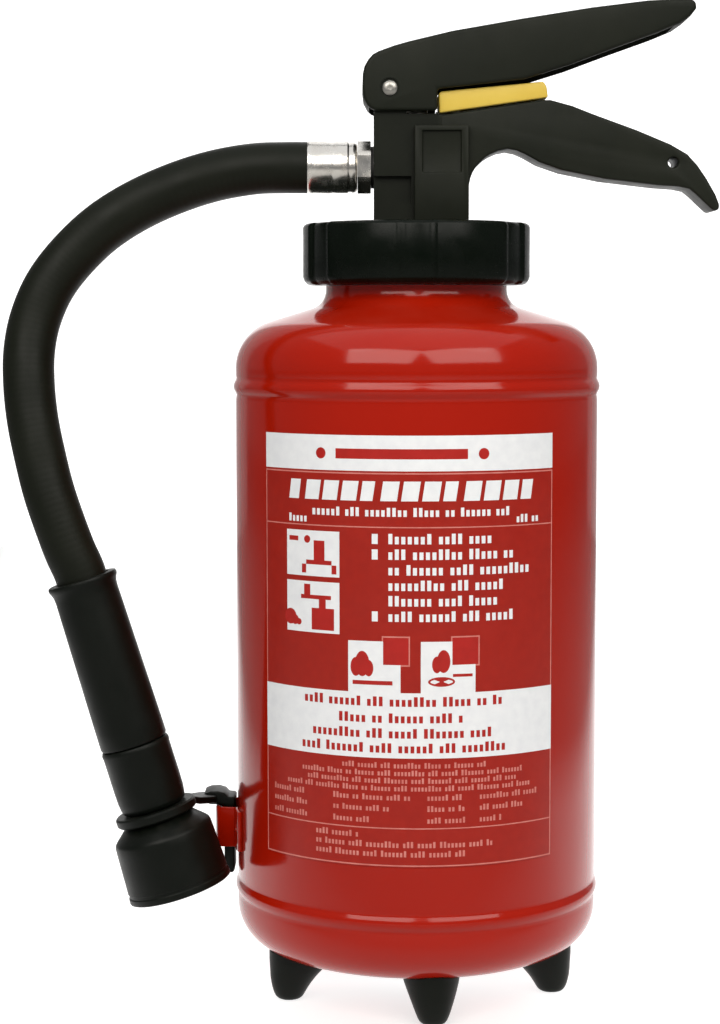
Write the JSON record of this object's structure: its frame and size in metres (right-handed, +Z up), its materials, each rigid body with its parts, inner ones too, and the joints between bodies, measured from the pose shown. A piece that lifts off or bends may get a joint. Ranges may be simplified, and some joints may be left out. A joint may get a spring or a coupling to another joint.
{
  "type": "fire extinguisher",
  "caption": "Small hand-held fire extinguisher: red steel tank on a black foot spider, squeeze lever over a carry handle, and a hose whose nozzle parks in a side bracket.",
  "frame": {"origin": "on the tank's axis, at the plane of the feet's pads", "axes": "+Z up along the tank's axis, +X towards the tips of the lever and carry handle, +Y away from the label's side"},
  "size_m": [0.2538, 0.1316, 0.3548],
  "materials": {
    "red_paint": "gloss powder coat",
    "black_moulding": "satin glass-filled nylon",
    "gloss_black": "semi-gloss moulding",
    "yellow_plastic": "satin",
    "hose_rubber": "smooth satin",
    "grip_rubber": "satin",
    "seal_rubber": "matte",
    "label_film": "printed self-adhesive film",
    "chrome": "bright plate",
    "bright_metal": "plain",
    "plated_steel": "zinc plate",
    "brass": "turned",
    "tube_plastic": "natural polypropylene"
  },
  "bodies": {
    "tank": {"bottom_dome": "red_paint", "shell_wall": "red_paint", "top_dome": "red_paint", "neck_collar": "plated_steel", "hose_bracket": "red_paint", "base_boss": "plated_steel", "base_spider": "black_moulding", "base_screw": "plated_steel", "label": "label_film", "head_gasket": "seal_rubber", "valve_body": "gloss_black", "carry_handle": "black_moulding", "relief_plug": "brass", "relief_seal": "seal_rubber", "pivot_pin": "bright_metal", "cartridge": "plated_steel", "cartridge_seal": "seal_rubber", "cartridge_disc": "brass", "dip_tube": "tube_plastic", "dip_strainer": "tube_plastic", "outlet_adapter": "chrome", "adapter_seal": "seal_rubber", "ferrule": "chrome", "hose_tail": "brass", "hose": "hose_rubber"},
    "squeeze_lever": {"lever": "black_moulding"},
    "safety_wedge": {"safety": "yellow_plastic"},
    "piercing_spindle": {"spindle": "bright_metal", "spindle_seal": "seal_rubber", "spindle_spring": "bright_metal"},
    "cap_nut": {"union_nut": "gloss_black"},
    "nozzle": {"grip_sleeve": "grip_rubber", "nozzle_tube": "black_moulding", "nozzle_spigot": "brass", "nozzle_clip": "black_moulding", "nozzle_head": "black_moulding", "nozzle_insert": "black_moulding", "nozzle_seal": "seal_rubber"}
  },
  "joints": [
    {"name": "lever_squeeze", "type": "hinge", "parent": "tank", "child": "squeeze_lever", "pos_m": [-0.0096, 0, 0.3239], "axis": [0, 1, 0], "range_deg": [0, 18], "stiffness_Nm_per_rad": 0.8, "springref_deg": -14.32},
    {"name": "spindle_press", "type": "slide", "parent": "tank", "child": "piercing_spindle", "axis": [0, 0, -1], "range_m": [0, 0.0035], "deforming": ["spindle_spring"]},
    {"name": "safety_pull", "type": "slide", "parent": "tank", "child": "safety_wedge", "axis": [0, -1, 0], "range_m": [0, 0.034]},
    {"name": "nozzle_lift", "type": "slide", "parent": "tank", "child": "nozzle", "axis": [0, 0, 1], "range_m": [0, 0.03], "deforming": ["hose"]},
    {"name": "nut_turn", "type": "hinge", "parent": "tank", "child": "cap_nut", "pos_m": [0, 0, 0.266], "axis": [0, 0, 1], "range_deg": [0, 360]}
  ],
  "couplings": [
    {"joint": "spindle_press", "follows": "lever_squeeze", "m_per_rad": 0.0105}
  ]
}
